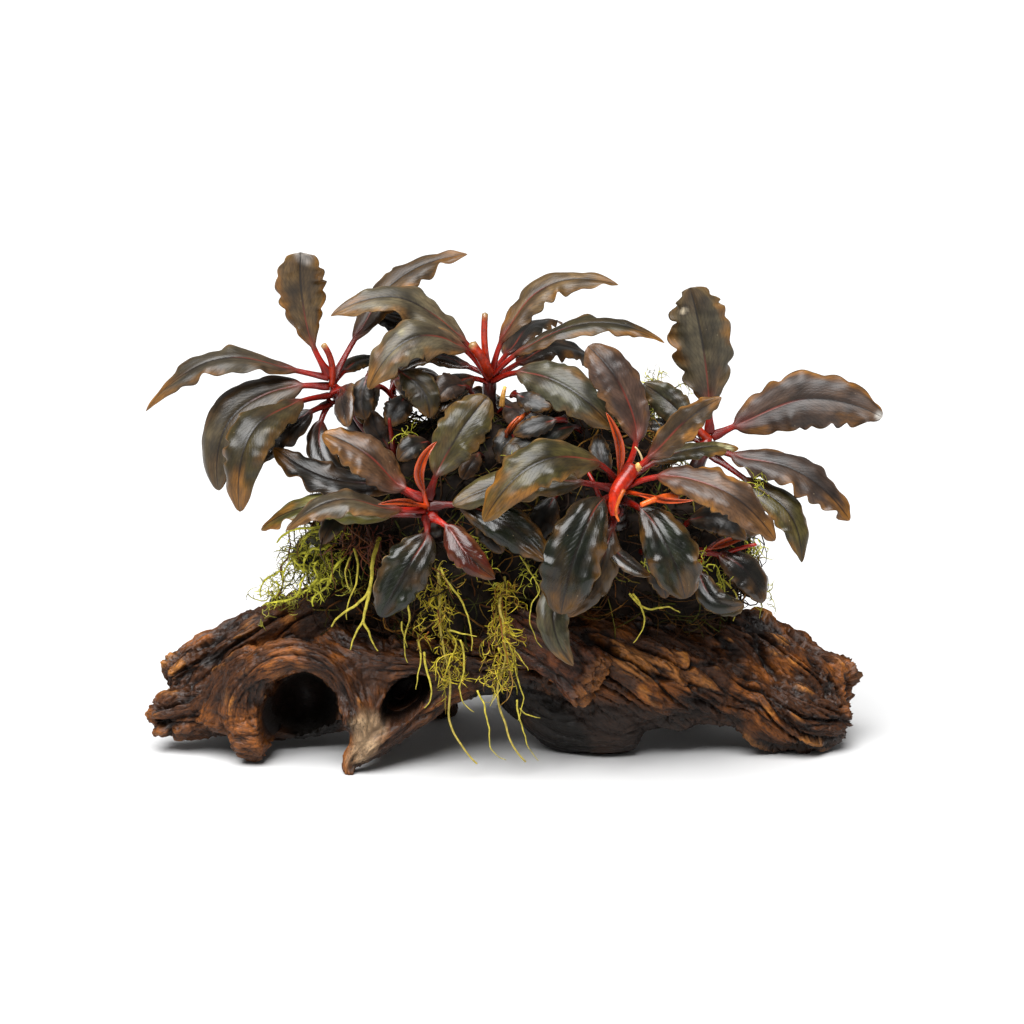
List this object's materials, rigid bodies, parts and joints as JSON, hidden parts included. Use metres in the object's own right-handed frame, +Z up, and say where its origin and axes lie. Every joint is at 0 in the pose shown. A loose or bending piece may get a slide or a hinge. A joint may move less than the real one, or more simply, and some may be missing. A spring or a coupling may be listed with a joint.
{
  "type": "bucephalandra on driftwood",
  "caption": "Clumps of dark wavy leaved aquarium plants with red stems and yellow green roots growing on a gnarled driftwood log.",
  "frame": {"origin": "middle of the bounding box on the table plane that the log rests on", "axes": "+X along the log to the right as seen from the front, +Y away from the viewer, +Z up"},
  "size_m": [0.2092, 0.0986, 0.1417],
  "materials": {
    "wood": "wet satin, mid to dark brown",
    "root_mat": "dark fibrous",
    "moss": "bright yellow green fibres",
    "roots": "yellow green strands",
    "stem": "glossy red",
    "leaf": "satin dark olive brown with amber margins"
  },
  "bodies": {
    "root": {"crown_back": "stem", "crown_front_middle": "stem", "crown_front_right": "stem", "crown_low_right": "stem", "crown_middle_left": "stem", "crown_upper_left": "stem", "crown_upper_middle": "stem", "crown_upper_right": "stem", "driftwood_left_limb": "wood", "driftwood_right_limb": "wood", "driftwood_root_loop": "wood", "driftwood_stub": "wood", "driftwood_trunk": "wood", "hanging_roots_long": "roots", "hanging_roots_short": "roots", "leaf_a1": "leaf", "leaf_a2": "leaf", "leaf_a4": "leaf", "leaf_a6": "leaf", "leaf_a7": "leaf", "leaf_a8": "leaf", "leaf_b1": "leaf", "leaf_b10": "leaf", "leaf_b12": "leaf", "leaf_b2": "leaf", "leaf_b4": "leaf", "leaf_b5": "leaf", "leaf_b6": "leaf", "leaf_b9": "leaf", "leaf_c1": "leaf", "leaf_c11": "leaf", "leaf_c12": "leaf", "leaf_c13": "leaf", "leaf_c2": "leaf", "leaf_c3": "leaf", "leaf_c8": "leaf", "leaf_c9": "leaf", "leaf_d1": "leaf", "leaf_d10": "leaf", "leaf_d11": "leaf", "leaf_d14": "leaf", "leaf_d15": "leaf", "leaf_d2": "leaf", "leaf_d4": "leaf", "leaf_d5": "leaf", "leaf_d6": "leaf", "leaf_d9": "leaf", "leaf_e1": "leaf", "leaf_e2": "leaf", "leaf_e3": "leaf", "leaf_e4": "leaf", "leaf_e6": "leaf", "leaf_h1": "leaf", "leaf_h2": "leaf", "leaf_h3": "leaf", "leaf_h4": "leaf", "moss_back": "moss", "moss_left": "moss", "root_mat": "root_mat"}
  },
  "joints": []
}
